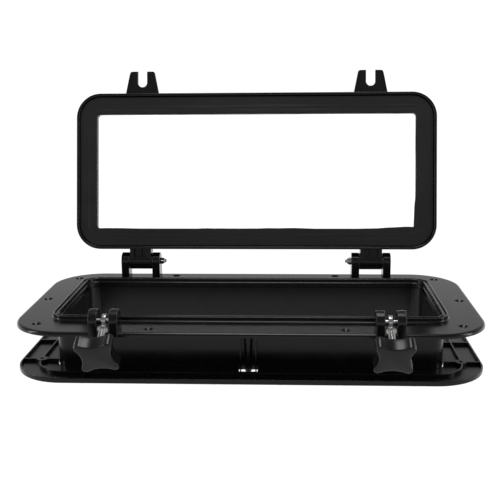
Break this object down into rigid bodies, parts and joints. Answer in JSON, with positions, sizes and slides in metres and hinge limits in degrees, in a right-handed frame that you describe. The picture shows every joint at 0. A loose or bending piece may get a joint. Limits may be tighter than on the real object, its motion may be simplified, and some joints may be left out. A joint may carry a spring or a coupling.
{
  "type": "deck hatch",
  "caption": "Rectangular opening hatch: flanged frame with a spigot, hinged lid with a clear pane and gasket, swing bolts with star knobs, and a loose trim ring.",
  "frame": {"origin": "centre of the opening and of the screw pattern, on the flange's underside, which is the mounting face", "axes": "+X along the hinge line, +Y from the swing bolts to the hinges, +Z out of the deck"},
  "size_m": [0.44, 0.3031, 0.2732],
  "materials": {
    "frame_plastic": "satin",
    "lid_plastic": "satin",
    "ring_plastic": "satin",
    "knob_plastic": "satin",
    "clear_acrylic": "polished",
    "seal_rubber": "matte",
    "gasket_rubber": "matte",
    "stainless": "polished",
    "bolt_steel": "satin",
    "washer_nylon": "matte",
    "insert_brass": "satin"
  },
  "bodies": {
    "frame": {"main_frame": "frame_plastic", "hinge_pin_left": "stainless", "hinge_pin_right": "stainless", "hinge_nut_left": "stainless", "hinge_nut_right": "stainless", "pivot_pin_left": "stainless", "pivot_pin_right": "stainless"},
    "lid": {"lid_frame": "lid_plastic", "lens": "clear_acrylic", "lens_seal": "seal_rubber", "lid_gasket": "gasket_rubber"},
    "trim_ring": {"trim_ring": "ring_plastic"},
    "swing_bolt_left": {"swing_bolt_left": "bolt_steel", "bolt_collar_left": "bolt_steel"},
    "knob_washer_left": {"knob_washer_left": "washer_nylon"},
    "knob_left": {"knob_left": "knob_plastic", "knob_insert_left": "insert_brass"},
    "swing_bolt_right": {"swing_bolt_right": "bolt_steel", "bolt_collar_right": "bolt_steel"},
    "knob_washer_right": {"knob_washer_right": "washer_nylon"},
    "knob_right": {"knob_right": "knob_plastic", "knob_insert_right": "insert_brass"}
  },
  "joints": [
    {"name": "lid_hinge", "type": "hinge", "parent": "frame", "child": "lid", "pos_m": [0, 0.0995, 0.021], "axis": [-1, 0, 0], "range_deg": [-102.5, 77.5]},
    {"name": "ring_slide", "type": "slide", "parent": "frame", "child": "trim_ring", "axis": [0, 0, 1], "range_m": [0, 0.036]},
    {"name": "bolt_swing_left", "type": "hinge", "parent": "frame", "child": "swing_bolt_left", "pos_m": [-0.1282, -0.1015, 0.0133], "axis": [-1, 0, 0], "range_deg": [0, 120]},
    {"name": "knob_travel_left", "type": "slide", "parent": "swing_bolt_left", "child": "knob_washer_left", "axis": [0, 0.866, 0.5], "range_m": [0, 0.0107]},
    {"name": "knob_turn_left", "type": "hinge", "parent": "knob_washer_left", "child": "knob_left", "pos_m": [-0.1282, -0.1015, 0.0133], "axis": [0, 0.866, 0.5], "range_deg": [0, 3852]},
    {"name": "bolt_swing_right", "type": "hinge", "parent": "frame", "child": "swing_bolt_right", "pos_m": [0.1282, -0.1015, 0.0133], "axis": [-1, 0, 0], "range_deg": [0, 120]},
    {"name": "knob_travel_right", "type": "slide", "parent": "swing_bolt_right", "child": "knob_washer_right", "axis": [0, 0.866, 0.5], "range_m": [0, 0.0107]},
    {"name": "knob_turn_right", "type": "hinge", "parent": "knob_washer_right", "child": "knob_right", "pos_m": [0.1282, -0.1015, 0.0133], "axis": [0, 0.866, 0.5], "range_deg": [0, 3852]}
  ],
  "couplings": [
    {"joint": "knob_travel_left", "follows": "knob_turn_left", "m_per_rad": 0.00015915},
    {"joint": "knob_travel_right", "follows": "knob_turn_right", "m_per_rad": 0.00015915}
  ]
}
